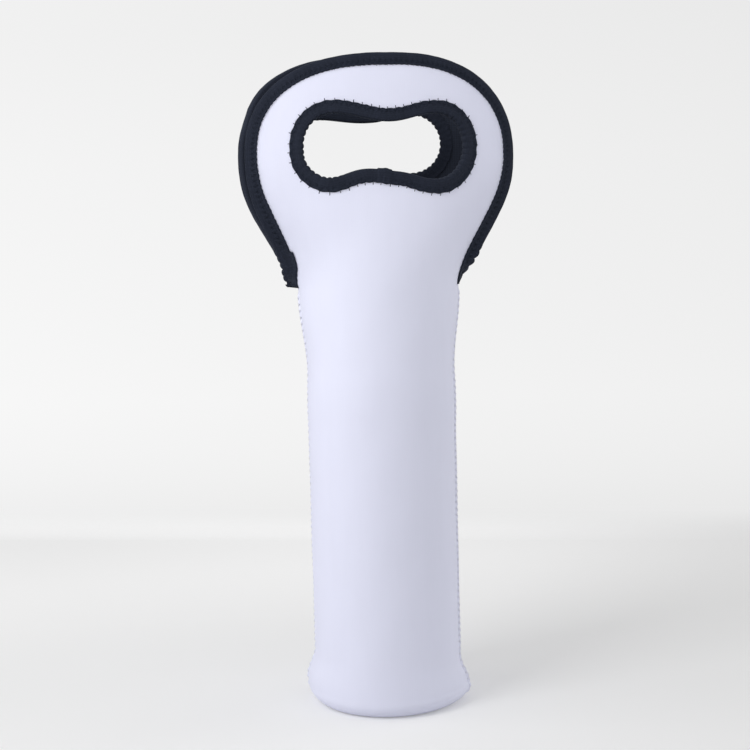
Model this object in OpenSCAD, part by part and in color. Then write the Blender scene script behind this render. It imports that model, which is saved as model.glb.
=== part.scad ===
// Soft carrier for one bottle: a sleeve of foam laminate whose front and back panels widen above the
// side seams into two bowed carrying heads, each with a bound hand hole.
// Millimetres, +Z up. The origin is the middle of the base on the floor, X runs across the panels
// and the front panel faces -Y.

/* [Sleeve] */
// Diameter of the bottle that fills the pocket
bottle_d = 76; // [64:1:88]
// Height of the upper ends of the side seams
seam_h = 232; // [205:1:250]
// How far below those ends the round sleeve begins to flatten
shoulder_drop = 46; // [30:1:80]
// How much wider than the round sleeve the panels are at those ends
neck_out = 6.8; // [4:0.2:20]
// How much shallower than the round sleeve the panels are there, from front to back
neck_in = 4; // [0:0.5:12]

/* [Base] */
// Radius of the rounded bottom edge
base_r = 8; // [5:0.5:12]
// How far a bottom corner stands out from the round sleeve
ear_out = 4.5; // [2:0.1:7]
// Height of the widest place of a bottom corner
ear_z = 8; // [5:0.5:11]
// Height at which a bottom corner has blended into the sleeve
ear_top = 25; // [18:1:32]

/* [Laminate] */
// Thickness of the white face fabric
face_t = 0.4; // [0.3:0.05:0.8]
// Thickness of the foam core
foam_t = 2.2; // [1.5:0.1:3]
// Thickness of the black lining
lining_t = 0.4; // [0.3:0.05:0.8]

/* [Heads] */
// Width of a head at its widest place, measured straight across
head_w = 144.5; // [120:0.5:170]
// Height of the widest place of a head above the side seams
head_rise = 72; // [60:1:90]
// Rise of the rounded crown above the widest place
crown_rise = 51.6; // [40:0.2:64]
// Distance between the outer faces of the two heads at their middles
head_depth = 66; // [58:1:74]
// Distance between the front head's edge and the back head's edge
edge_gap = 32; // [24:1:38]
// Height over which the two heads' edges draw apart
spread_h = 70; // [40:1:72]
// Height over which the taped margins swing out above the side seams
margin_rise = 12; // [8:1:24]
// Angle in degrees by which the margins then turn back from the front
margin_turn = 17; // [8:1:30]

/* [Fold] */
// How far above the side seams the zone in which a head bends begins
fold_above = 2; // [1:0.5:6]
// Height of that zone
fold_h = 28; // [20:1:34]
// Gap between the zone and the head that it carries
fold_gap = 0.1; // [0.05:0.05:0.3]

/* [Hand hole] */
// Height of the middle of the hand hole above the widest place of the head
hole_rise = 4.5; // [0:0.5:8]
// Distance of a round end's centre from the middle of the hole
lobe_x = 28; // [22:0.5:34]
// Radius of a round end, to the cut edge of the laminate
lobe_r = 17.4; // [14:0.1:20]
// Half height of the narrow middle, to the cut edge of the laminate
waist_r = 13.4; // [11:0.1:16]

/* [Binding] */
// Width of the folded tape on each face of the laminate
binding_w = 6; // [4:0.1:8]
// Thickness of the tape
tape_t = 1; // [0.6:0.05:1.4]
// Gap between the tape and the laminate
tape_fit = 0.05; // [0.03:0.01:0.1]
// How far above the side seams the edge tapes end
tail_above = 5; // [4:0.5:8]
// Gap between the tape's lower ends and the laminate, where the tape lies more loosely
tail_fit = 0.35; // [0.3:0.05:0.5]

/* [Thread] */
// Thickness of the sewing thread
thread_d = 0.5; // [0.3:0.05:0.8]
// Length of one zigzag of the side seams and of the base seam
seam_pitch = 3.6; // [2.8:0.1:6]
// How far a zigzag reaches to each side of its seam
seam_reach = 2.2; // [1.5:0.1:3]
// Length of one zigzag round a hand hole
hole_pitch = 4.8; // [3.6:0.1:7]
// How far the zigzag reaches past the tape onto the face, and back over the tape
hole_reach = 1.4; // [0.8:0.1:2]
// Gap between a thread and what it lies on
thread_gap = 0.2; // [0.1:0.05:0.3]

/* [Colours] */
// Colour of the face fabric
white = [0.90, 0.90, 0.97];
// Colour of the foam core
charcoal = [0.12, 0.12, 0.13];
// Colour of the lining and the binding tape
black = [0.10, 0.12, 0.15];

/* [Hidden] */

front = 1;
back = -1;
wall = face_t + foam_t + lining_t;
sleeve_r = bottle_d / 2 + wall;
shoulder_z = seam_h - shoulder_drop;
half_neck = sleeve_r + neck_out / 2;
neck_c = sleeve_r - neck_in / 2;
head_z = seam_h + head_rise;
fold_low = seam_h + fold_above;
fold_high = fold_low + fold_h;
hole_z = head_z + hole_rise;
tail_z = seam_h + tail_above;
half_head = head_w / 2;
thread_r = thread_d / 2;
// Depths below the outer face at which the layers of the laminate begin and end
face_span = [0, face_t];
foam_span = [face_t, face_t + foam_t];
lining_span = [face_t + foam_t, wall];

// Shares that shape the outline: the bend of the flare, the powers of the crown's round outline, how
// much of a corner's stand-out is left at the floor, the edge gap at which a free edge is cut square,
// as a share of the laminate's and its tape's thickness, and the width of a head's flat margin, level
// across, as a share of the tape that slants over it
flare_share = 1.215;
margin_share = 1.24;
crown_rise_share = 0.909;
crown_width_share = 0.8;
ear_floor_share = 0.6;
square_edge_share = 1.1;
margin_w = binding_w * margin_share;

// Counts of steps: columns of a sleeve panel, and along the parts of a head's outline
columns = 14;
corner_n = 4;
ear_n = 4;
neck_n = 4;
tail_n = 4;
fold_n = tail_n + 1;
side_n = 5;
crown_n = 26;
foot_n = 16;
waist_n = 10;
lobe_n = 16;

function mix(a, b, k) = a + (b - a) * k;
function ease(q) = let (c = min(max(q, 0), 1)) c * c * (3 - 2 * c);
function to_mm(angle, r) = angle * PI / 180 * r;

// Arc from the middle of a panel to a place that far out and that far back
function bow(out, rise) = 2 * atan(rise / out);
function bow_r(out, rise) = (out * out + rise * rise) / (2 * rise);
function bow_w(out, rise) = to_mm(bow(out, rise), bow_r(out, rise));

// Shape of the outer face by height: half chord of the seamed sleeve, and the depth of the middle in
// front of the plane of the seams
function ear(z) = ear_out * (z < ear_z
  ? mix(ear_floor_share, 1, sin(90 * z / ear_z))
  : (1 + cos(180 * min(1, (z - ear_z) / (ear_top - ear_z)))) / 2);
function edge_in(z) = z < base_r ? base_r - sqrt(max(0, z * (2 * base_r - z))) : 0;
function neck_share(z) = ease((z - shoulder_z) / (seam_h - shoulder_z));
function half_chord(z) = mix(sleeve_r, half_neck, neck_share(z)) - edge_in(z) + ear(z);
function mid_depth(z) = z > seam_h
  ? mix(neck_c, head_depth / 2, ease((z - seam_h) / (head_z - seam_h)))
  : mix(sleeve_r, neck_c, neck_share(z)) - edge_in(z);

// Above the seams a flat margin joins the arc at a crease. At the seams and at the widest place the
// crease lies on the arc that runs on to the edge.
function on_bow(w, out, rise) = let (r = bow_r(out, rise), a = w / r * 180 / PI)
  [r * sin(a), r * (1 - cos(a))];
function crease_on(out, c, g) = let (p = on_bow(bow_w(out, c - g) - margin_w, out, c - g))
  [p[0], c - p[1]];
function turn_from(p, out, g) = atan((p[1] - g) / (out - p[0]));
seam_crease = crease_on(half_neck, neck_c, 0);
seam_turn = turn_from(seam_crease, half_neck, 0);
head_crease = crease_on(half_head, head_depth / 2, edge_gap / 2);
head_turn = turn_from(head_crease, half_head, edge_gap / 2);
function flare(z) = (1 - cos(180 * pow(min(max((head_z - z) / (head_z - seam_h), 0), 1), flare_share))) / 2;
function crease(z) = [
  mix(head_crease[0], seam_crease[0], flare(z)),
  mix(seam_crease[1], head_crease[1], ease((z - seam_h) / spread_h))
];
function margin_angle(z) = mix(
  seam_turn,
  mix(head_turn, margin_turn, ease((head_z - z) / (head_z - fold_high))),
  ease((z - seam_h) / margin_rise)
);

// One level of a panel at a depth below the outer face, as [edge, crease, depth of the middle, radius
// and angle of the arc, share of the width at which the arc ends]. A seamed edge ends in the plane of
// the seams and a free edge is cut square, once the two heads' edges are further apart than the
// laminate and its tape are thick.
square_depth = (wall + tail_fit + tape_t) * square_edge_share;
function seamed_level(out, c, in) = let (edge = [out - in / sin(bow(out, c)), 0])
  [edge, edge, c - in, bow_r(out, c) - in, bow(out, c), 1];
function level(z, in) = z <= seam_h ? seamed_level(half_chord(z), mid_depth(z), in) : let (
    bent = crease(z),
    turn = margin_angle(z),
    edge = bent + margin_w * [cos(turn), -sin(turn)],
    rise = mid_depth(z) - bent[1],
    arc = bow(bent[0], rise),
    arc_w = bow_w(bent[0], rise),
    square = min(1, edge[1] / square_depth),
    miter = in / cos((arc - turn) / 2),
    half = (arc + turn) / 2
  ) [
    edge - in * [mix(1 / sin(turn), sin(turn), square), cos(turn) * square],
    bent - miter * [sin(half), cos(half)],
    mid_depth(z) - in,
    bow_r(bent[0], rise) - in,
    arc,
    arc_w / (arc_w + margin_w)
  ];

// A point of a level: t runs from -1 at the left edge to 1 at the right edge. The margins lie beyond
// the share of the width at which the arc ends, and a tape stands out sideways beyond the edge.
function level_edge(l) = l[0];
function level_corner(l) = l[1];
function level_middle(l) = l[2];
function level_r(l) = l[3];
function level_angle(l) = l[4];
function level_taped(l) = l[5];
function level_width(l) = to_mm(level_angle(l), level_r(l)) / level_taped(l);
function on_arc(l, share) = let (r = level_r(l), a = share * level_angle(l))
  [r * sin(a), level_middle(l) - r * (1 - cos(a))];
function on_level(l, t, z, side) = let (
    taped = level_taped(l),
    share = abs(t),
    p = share >= 1 ? level_edge(l) + [(share - 1) * level_width(l), 0]
      : share >= taped ? mix(level_corner(l), level_edge(l), (share - taped) / (1 - taped))
      : on_arc(l, share / taped)
  ) [t < 0 ? -p[0] : p[0], -side * p[1], z];

// Half the width of a panel at a height, measured along its face; above the widest place it stays
// the same, so that it serves as the ruler for the crown
function ruler(z) = level_width(level(z, 0));

// A point of a bowed panel from its distance along the face and its height
function on_sheet(p, in, side) = on_level(level(p[1], in), p[0] / ruler(p[1]), p[1], side);

// Two triangles of a square of four points, split along its shorter diagonal, so that a tape and
// the laminate under it are split alike. Diagonals within the tie share count as equal.
tie_share = 0.999999;
function halves(p, a, b, c, d) = norm(p[a] - p[c]) < norm(p[b] - p[d]) * tie_share
  ? [[a, b, c], [a, c, d]] : [[a, b, d], [b, c, d]];

// Triangles of a slab between two grids of points with the same rows and columns. The grids are
// listed one after the other, and ring is true where the last column joins the first.
function slab_faces(p, rows, cols, ring) = let (
    cells = ring ? cols : cols - 1,
    deep = rows * cols,
    at = function (r, c) r * cols + c % cols,
    ends = ring ? [] : [0, cols - 1]
  ) concat(
    [for (r = [0 : rows - 2], c = [0 : cells - 1])
      each halves(p, at(r, c), at(r + 1, c), at(r + 1, c + 1), at(r, c + 1))],
    [for (r = [0 : rows - 2], c = [0 : cells - 1])
      let (d = deep + at(r, c), e = deep + at(r, c + 1))
      each turned(halves(p, d, d + cols, e + cols, e))],
    [for (r = [0, rows - 1], c = [0 : cells - 1])
      let (f = halves(p, at(r, c), at(r, c + 1), at(r, c + 1) + deep, at(r, c) + deep))
      each r == 0 ? f : turned(f)],
    [for (c = ends, r = [0 : rows - 2])
      let (f = halves(p, at(r, c), at(r + 1, c), at(r + 1, c) + deep, at(r, c) + deep))
      each c == 0 ? turned(f) : f]
  );
function turned(faces) = [for (f = faces) [f[2], f[1], f[0]]];
function sum(v) = [for (i = 0, s = 0; i <= len(v); s = s + (i < len(v) ? v[i] : 0), i = i + 1) s][len(v)];

// A closed solid of triangles. Triangles that have shrunk to a line, where a grid runs to a point,
// are left out, and all are turned over where the grid was listed the other way round.
module solid(points, faces) {
  kept = [for (f = faces) if (points[f[0]] != points[f[1]] && points[f[1]] != points[f[2]]
    && points[f[2]] != points[f[0]]) f];
  inside_out = sum([for (f = kept) points[f[0]] * cross(points[f[1]], points[f[2]])]) > 0;
  polyhedron(points, inside_out ? turned(kept) : kept);
}
module slab(outer, inner, ring = false) {
  points = [for (grid = [outer, inner], row = grid, p = row) p];
  solid(points, slab_faces(points, len(outer), len(outer[0]), ring));
}

// Sleeve panels

// Levels of a sleeve panel from the base seam to the fold, at a depth below the outer face. Each is
// [level, height, share of the depth kept], and the share closes the flat base towards its seam.
function corner_level(in, turn, share) = let (
    z = base_r * (1 - cos(turn)),
    c = sleeve_r - base_r + (base_r - in) * sin(turn)
  ) [seamed_level(c + ear(z), c, 0), base_r - (base_r - in) * cos(turn), share];
function wall_level(in, z) = [level(z, in), z, 1];
function sleeve_levels(in) = concat(
  [corner_level(in, 0, 0)],
  [for (i = [0 : corner_n]) corner_level(in, 90 * i / corner_n, 1)],
  [for (i = [1 : ear_n]) wall_level(in, mix(base_r, ear_top, i / ear_n))],
  [for (i = [0 : neck_n]) wall_level(in, mix(shoulder_z, seam_h, i / neck_n))],
  [wall_level(in, fold_low)]
);
function sleeve_grid(in, side) = [for (l = sleeve_levels(in)) [for (i = [0 : columns])
  let (p = on_level(l[0], 2 * i / columns - 1, l[1], side)) [p[0], p[1] * l[2], p[2]]]];
module sleeve_layer(span, side) {
  slab(sleeve_grid(span[0], side), sleeve_grid(span[1], side));
}

// Zone in which a head bends

function tail_row(k) = mix(tail_z, fold_high, k / tail_n);
function fold_row(r) = r == 0 ? fold_low : tail_row(r - 1);
// Places across the panel, with a column where each flat margin begins
function fold_columns(z) = let (taped = 1 - margin_w / ruler(z), n = columns - 2)
  concat([-1], [for (i = [0 : n]) mix(-taped, taped, i / n)], [1]);
function fold_grid(in, side) = [for (r = [0 : fold_n]) let (z = fold_row(r))
  [for (t = fold_columns(z)) on_level(level(z, in), t, z, side)]];
module fold_layer(span, side) {
  slab(fold_grid(span[0], side), fold_grid(span[1], side));
}

// Heads: rings of stations run round from the hand hole to the outer edge. A station is [place on the
// sheet, direction into the laminate], and its place is [distance along the face, height].

head_low = fold_high + fold_gap;
function unit(v) = v / norm(v);
function left_of(v) = [-v[1], v[0]];
function side_place(z) = [ruler(z), z];
function crown_place(turn) = let (
    x = half_head * sign(cos(turn)) * pow(abs(cos(turn)), crown_width_share),
    l = level(head_z, 0),
    bent = level_corner(l)[0],
    flat = level_edge(l) - level_corner(l),
    s = abs(x) <= bent ? to_mm(asin(abs(x) / level_r(l)), level_r(l))
      : to_mm(level_angle(l), level_r(l)) + (abs(x) - bent) * norm(flat) / flat[0]
  ) [sign(x) * s, head_z + crown_rise * pow(sin(turn), crown_rise_share)];
function mirrored(p) = [-p[0], p[1]];

// Outline of a head from its right lower corner over the crown to its left lower corner
function outline_place(k) =
  k < side_n ? side_place(mix(head_low, head_z, k / side_n))
  : k <= side_n + crown_n ? crown_place(180 * (k - side_n) / crown_n)
  : mirrored(side_place(mix(head_z, head_low, (k - side_n - crown_n) / side_n)));
outline_n = 2 * side_n + crown_n;
outline_step_share = 0.02;
function outline_station(k) = let (
    a = outline_place(max(0, k - outline_step_share)),
    b = outline_place(min(outline_n, k + outline_step_share))
  ) [outline_place(k), left_of(unit(b - a))];
function outline() = [for (k = [0 : outline_n]) outline_station(k)];
function foot() = [for (k = [1 : foot_n - 1])
  [[mix(-ruler(head_low), ruler(head_low), k / foot_n), head_low], [0, 1]]];

// Outline of the hand hole: round ends joined by waved stretches, met in the same order
waist_step_share = 0.02;
function waist_half(x) = mix(waist_r, lobe_r, (1 - cos(180 * x / lobe_x)) / 2);
function lobe_place(turn) = [lobe_x + lobe_r * cos(turn), hole_z + lobe_r * sin(turn)];
function waist_place(x) = [x, hole_z + waist_half(x)];
function lobe_station(turn) = [lobe_place(turn), [cos(turn), sin(turn)]];
function waist_station(x) = let (d = lobe_x * waist_step_share)
  [waist_place(x), left_of(unit(waist_place(x + d) - waist_place(x - d)))];
function flipped(s) = [[s[0][0], 2 * hole_z - s[0][1]], [s[1][0], -s[1][1]]];
function crossed(s) = [mirrored(s[0]), mirrored(s[1])];
lobe_foot_n = (foot_n - waist_n) / 2;
lobe_step = 180 / lobe_n;
function hole_ring() = let (low = -90 + lobe_foot_n * lobe_step) concat(
  [for (k = [0 : lobe_n - lobe_foot_n - 1]) lobe_station(low + k * lobe_step)],
  [for (k = [0 : waist_n - 1]) waist_station(mix(lobe_x, -lobe_x, k / waist_n))],
  [for (k = [0 : lobe_n - 1]) crossed(lobe_station(90 - k * lobe_step))],
  [for (k = [0 : waist_n - 1]) flipped(waist_station(mix(-lobe_x, lobe_x, k / waist_n)))],
  [for (k = [0 : lobe_foot_n - 1]) lobe_station(-90 + k * lobe_step)]
);
function outer_ring() = concat(outline(), foot());
function moved(s, into) = s[0] + s[1] * into;

function head_rings() = let (
    hole = hole_ring(),
    outer = outer_ring(),
    inside = [for (s = hole) moved(s, binding_w)],
    outside = [for (s = outer) moved(s, binding_w)]
  ) [
    [for (s = hole) s[0]],
    inside,
    (inside + outside) / 2,
    outside,
    [for (s = outer) s[0]]
  ];
function head_grid(in, side) = [for (ring = head_rings()) [for (p = ring) on_sheet(p, in, side)]];
module head_layer(span, side) {
  slab(head_grid(span[0], side), head_grid(span[1], side), true);
}

// Tapes and threads: a closed profile of [distance into the laminate, depth below the outer face]
// is carried along stations. The profile may differ from one station to the next.

function carried(stations, profiles, side) = [for (i = [0 : len(stations) - 1])
  [for (q = profiles[i]) on_sheet(moved(stations[i], q[0]), q[1], side)]];
function skin_faces(p, rings, cols, closed) = [for (r = [0 : rings - (closed ? 1 : 2)], c = [0 : cols - 1])
  let (a = r * cols, b = (r + 1) % rings * cols, d = (c + 1) % cols)
  each halves(p, a + c, b + c, b + d, a + d)];
module strip(rings, cap, closed = false) {
  points = [for (ring = rings, p = ring) p];
  cols = len(rings[0]);
  last = (len(rings) - 1) * cols;
  solid(points, concat(
    skin_faces(points, len(rings), cols, closed),
    closed ? [] : cap,
    closed ? [] : [for (f = turned(cap)) [for (i = f) i + last]]
  ));
}

// Folded tape round a cut edge, seen along the edge
function tape_profile(fit) = let (over = wall + fit, under = -fit) [
  [binding_w, under],
  [under, under],
  [under, over],
  [binding_w, over],
  [binding_w, over + tape_t],
  [under, over + tape_t],
  [under - tape_t, over],
  [under - tape_t, under],
  [under, under - tape_t],
  [binding_w, under - tape_t]
];
tape_cap = [[0, 8, 9], [0, 1, 8], [1, 7, 8], [1, 6, 7], [1, 2, 6], [2, 5, 6], [2, 4, 5], [2, 3, 4]];
module tape(stations, side, closed = false, fit = tape_fit) {
  strip(carried(stations, [for (s = stations) tape_profile(fit)], side), tape_cap, closed);
}

// Thread of three sides at a place on the face; slant widens it where it runs slanting in a zigzag
thread_cap = [[0, 1, 2]];
function thread_profile(into, depth, slant) =
  [for (turn = [90, 210, 330]) [into + thread_r * slant * cos(turn), depth - thread_r * sin(turn)]];
tape_depth = -tape_fit - tape_t - thread_gap - thread_r;

// Side tapes below the heads, one for each edge of each panel. They lie level across the margin and
// turn square to the edge at their upper end, where the heads' tapes go on.
function tail_stations() = [for (k = [0 : tail_n])
  let (z = tail_row(k), d = tape_fit, way = unit(side_place(z + d) - side_place(z - d)))
  [side_place(z), k < tail_n ? [-margin_share, 0] : left_of(way)]];
module tail(side, right) {
  if (right) tape(tail_stations(), side, false, tail_fit);
  else mirror([1, 0, 0]) tape(tail_stations(), side, false, tail_fit);
}

// Zigzag thread round a hand hole, stepping from the tape onto the face and back
function even_waist_n() = 2 * round(lobe_x / hole_pitch * 2);
function even_lobe_n() = 2 * round(PI * (lobe_r + binding_w) / hole_pitch);
function thread_stations() = let (w = even_waist_n(), l = even_lobe_n()) concat(
  [for (k = [0 : l - 1]) lobe_station(-90 + 180 * k / l)],
  [for (k = [0 : w - 1]) waist_station(mix(lobe_x, -lobe_x, k / w))],
  [for (k = [0 : l - 1]) crossed(lobe_station(90 - 180 * k / l))],
  [for (k = [0 : w - 1]) flipped(waist_station(mix(-lobe_x, lobe_x, k / w)))]
);
module hole_thread(side) {
  stations = thread_stations();
  slant = norm([hole_pitch, 4 * hole_reach]) / hole_pitch;
  profiles = [for (k = [0 : len(stations) - 1]) k % 2 == 0
    ? thread_profile(binding_w - hole_reach, tape_depth, slant)
    : thread_profile(binding_w + hole_reach, tape_depth, slant)];
  strip(carried(stations, profiles, side), thread_cap, true);
}

// Running thread on the face side of an edge tape
edge_thread_in = binding_w - hole_reach;
module edge_thread(side) {
  stations = outline();
  profiles = [for (s = stations) thread_profile(edge_thread_in, tape_depth, 1)];
  strip(carried(stations, profiles, side), thread_cap);
}

// Zigzag threads that join the front and back panels
seam_slant = norm([seam_pitch, 4 * seam_reach]) / seam_pitch;
seam_low = ear_z / 2;
seam_lie = thread_gap + thread_r;
module seam_thread(hand) {
  n = 2 * floor((seam_h - seam_low) / seam_pitch);
  rings = [for (k = [0 : n]) let (z = seam_low + k * seam_pitch / 2, y = (k % 2 == 0 ? 1 : -1) * seam_reach)
    [for (turn = [0, 120, 240]) [
      hand * (half_chord(z) + seam_lie + thread_r * cos(turn)), y + thread_r * seam_slant * sin(turn), z]]];
  strip(rings, thread_cap);
}
module base_thread() {
  n = 2 * floor((sleeve_r - base_r) / seam_pitch);
  rings = [for (k = [-n : n]) let (y = (k % 2 == 0 ? 1 : -1) * seam_reach)
    [for (turn = [0, 120, 240]) [
      k * seam_pitch / 2, y + thread_r * seam_slant * sin(turn), wall + seam_lie + thread_r * cos(turn)]]];
  strip(rings, thread_cap);
}

module front_face() { color(white) sleeve_layer(face_span, front); }
module front_foam() { color(charcoal) sleeve_layer(foam_span, front); }
module front_lining() { color(black) sleeve_layer(lining_span, front); }
module back_face() { color(white) sleeve_layer(face_span, back); }
module back_foam() { color(charcoal) sleeve_layer(foam_span, back); }
module back_lining() { color(black) sleeve_layer(lining_span, back); }
module front_fold_face() { color(white) fold_layer(face_span, front); }
module front_fold_foam() { color(charcoal) fold_layer(foam_span, front); }
module front_fold_lining() { color(black) fold_layer(lining_span, front); }
module back_fold_face() { color(white) fold_layer(face_span, back); }
module back_fold_foam() { color(charcoal) fold_layer(foam_span, back); }
module back_fold_lining() { color(black) fold_layer(lining_span, back); }
module front_head_face() { color(white) head_layer(face_span, front); }
module front_head_foam() { color(charcoal) head_layer(foam_span, front); }
module front_head_lining() { color(black) head_layer(lining_span, front); }
module back_head_face() { color(white) head_layer(face_span, back); }
module back_head_foam() { color(charcoal) head_layer(foam_span, back); }
module back_head_lining() { color(black) head_layer(lining_span, back); }
module front_hole_binding() { color(black) tape(hole_ring(), front, true); }
module back_hole_binding() { color(black) tape(hole_ring(), back, true); }
module front_edge_binding() { color(black) tape(outline(), front); }
module back_edge_binding() { color(black) tape(outline(), back); }
module front_left_tail() { color(black) tail(front, false); }
module front_right_tail() { color(black) tail(front, true); }
module back_left_tail() { color(black) tail(back, false); }
module back_right_tail() { color(black) tail(back, true); }
module front_hole_thread() { color(black) hole_thread(front); }
module back_hole_thread() { color(black) hole_thread(back); }
module front_edge_thread() { color(black) edge_thread(front); }
module back_edge_thread() { color(black) edge_thread(back); }
module left_seam_thread() { color(white) seam_thread(-1); }
module right_seam_thread() { color(white) seam_thread(1); }
module base_seam_thread() { color(white) base_thread(); }

front_face();
front_foam();
front_lining();
back_face();
back_foam();
back_lining();
front_fold_face();
front_fold_foam();
front_fold_lining();
back_fold_face();
back_fold_foam();
back_fold_lining();
front_head_face();
front_head_foam();
front_head_lining();
back_head_face();
back_head_foam();
back_head_lining();
front_hole_binding();
back_hole_binding();
front_edge_binding();
back_edge_binding();
front_left_tail();
front_right_tail();
back_left_tail();
back_right_tail();
front_hole_thread();
back_hole_thread();
front_edge_thread();
back_edge_thread();
left_seam_thread();
right_seam_thread();
base_seam_thread();
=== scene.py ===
import math

import bpy
import numpy as np
from mathutils import Matrix, Vector


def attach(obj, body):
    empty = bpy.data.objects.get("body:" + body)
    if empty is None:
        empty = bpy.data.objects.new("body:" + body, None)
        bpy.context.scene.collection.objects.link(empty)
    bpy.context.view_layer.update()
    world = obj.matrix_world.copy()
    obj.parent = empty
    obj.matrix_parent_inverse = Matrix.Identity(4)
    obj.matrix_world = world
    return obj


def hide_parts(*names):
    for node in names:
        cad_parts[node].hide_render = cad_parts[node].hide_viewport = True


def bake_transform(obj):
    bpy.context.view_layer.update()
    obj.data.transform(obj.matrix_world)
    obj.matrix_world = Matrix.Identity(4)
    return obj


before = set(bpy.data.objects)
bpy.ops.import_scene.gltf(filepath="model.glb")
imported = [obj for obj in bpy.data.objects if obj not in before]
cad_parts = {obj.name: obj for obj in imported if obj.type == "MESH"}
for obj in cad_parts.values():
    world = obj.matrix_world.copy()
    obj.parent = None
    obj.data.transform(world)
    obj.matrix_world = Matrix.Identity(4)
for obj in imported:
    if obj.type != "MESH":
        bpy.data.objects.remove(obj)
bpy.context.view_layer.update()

MM = 0.001
PI = math.pi
TINY = 1e-6
FRONT, BACK = 1.0, -1.0

# Driving sizes, in millimetres and from the floor up
WALL = 3.0
SLEEVE_R = 41.0
BASE_R = 8.0
EAR_TOP = 30.0
SHOULDER_Z = 186.0
SEAM_H = 232.0
SEAM_PITCH = 3.6
FOLD_LOW, FOLD_HIGH = 234.0, 262.0
HEAD_Z, HALF_HEAD, CROWN_RISE = 304.0, 72.25, 51.6
HOLE_Z, LOBE_X, LOBE_R = 308.5, 28.0, 17.4
WAIST_R = {FRONT: 13.4, BACK: 15.2}
TAPE_W, TAPE_T, TAPE_FIT = 6.0, 1.0, 0.05
MARGIN_W = 1.24 * TAPE_W
TAIL_Z = SEAM_H + 1.0

# Half width and half depth where the seams end, half depth where the heads are widest, and the gap between
# the front and back edges there
HALF_NECK, NECK_C = 44.4, 39.0
HEAD_C, EDGE_GAP = 33.0, 32.0
# The seams are drawn in a little. Above them the edges part over a height, and the outline flares by a power.
SEAM_DRAW, SPREAD_H, FLARE_POWER = 0.6, 70.0, 1.215
# The flat margins under the tape: their turn at the bend, the gap that squares their cut as a share of the
# wall, and half the length of the rounded crease
MARGIN_TURN, SQUARE_CUT_SHARE = math.radians(17.0), 1.6
CREASE_HALF, CREASE_MOST_SHARE = 2.4, 0.8

# The carrier is soft, so its right and left sides differ a little: pairs are (right, left)
EAR_OUT, EAR_PEAK, EAR_END, EAR_FLOOR_SHARE = (5.2, 5.0), (9.0, 13.0), (26.0, EAR_TOP), (0.5, 0.05)
SWING_H = (19.0, 12.0)

# Turn of the panels about the bottle, in radians, and their drift to the right
BEND_TURN, BEND_TOP, BEND_H = 0.14, SEAM_H + 45, 55
SLEEVE_TURN, SLEEVE_TOP, SLEEVE_H = 0.18, SEAM_H - 4, 60
DRIFT_Z, DRIFT = [0, 150, 190, 230, 260, 305], [0.0, 0.1, 0.4, 0.4, 0.5, 0.4]


def mix(a, b, k):
    return a + (b - a) * k


def clip01(q):
    return np.clip(q, 0.0, 1.0)


def ease(q):
    c = clip01(q)
    return c * c * (3.0 - 2.0 * c)


def bell(q, width):
    return np.exp(-(np.asarray(q, float) / width) ** 2)


def by_hand(pair, hand):
    return np.where(hand > 0, *pair)


# Shape of the laminate
def ear(z, hand):
    """Stand-out of a bottom corner."""
    out, peak, top, floor = (by_hand(pair, hand) for pair in (EAR_OUT, EAR_PEAK, EAR_END, EAR_FLOOR_SHARE))
    low = mix(floor, 1.0, np.sin(PI / 2 * clip01(z / peak)))
    high = (1 + np.cos(PI * clip01((z - peak) / (top - peak)))) / 2
    return out * np.where(z < peak, low, high)


def edge_in(z):
    return np.where(z < BASE_R, BASE_R - np.sqrt(np.maximum(0, z * (2 * BASE_R - z))), 0.0)


def neck_share(z):
    return ease((z - SHOULDER_Z) / (SEAM_H - SHOULDER_Z))


def half_chord(z, hand):
    return mix(SLEEVE_R, HALF_NECK, neck_share(z)) - SEAM_DRAW - edge_in(z) + ear(z, hand)


def mid_depth(z):
    low = mix(SLEEVE_R, NECK_C, neck_share(z)) - edge_in(z)
    return np.where(z > SEAM_H, mix(NECK_C, HEAD_C, ease((z - SEAM_H) / (HEAD_Z - SEAM_H))), low)


def bow(out, rise):
    """Angle and radius of an arc from the middle of a panel to a place that far out and that far back."""
    return 2 * np.arctan(rise / out), (out * out + rise * rise) / (2 * rise)


def crease_on(out, c, gap):
    """Where a flat margin begins on an arc that runs on to the edge, and the angle of its chord."""
    angle, r = bow(out, c - gap)
    a = angle - MARGIN_W / r
    x, y = r * math.sin(a), c - r * (1 - math.cos(a))
    return x, y, math.atan2(y - gap, out - x)


SEAM_CREASE = crease_on(HALF_NECK - SEAM_DRAW, NECK_C, 0.0)
HEAD_CREASE = crease_on(HALF_HEAD, HEAD_C, EDGE_GAP / 2)


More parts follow.
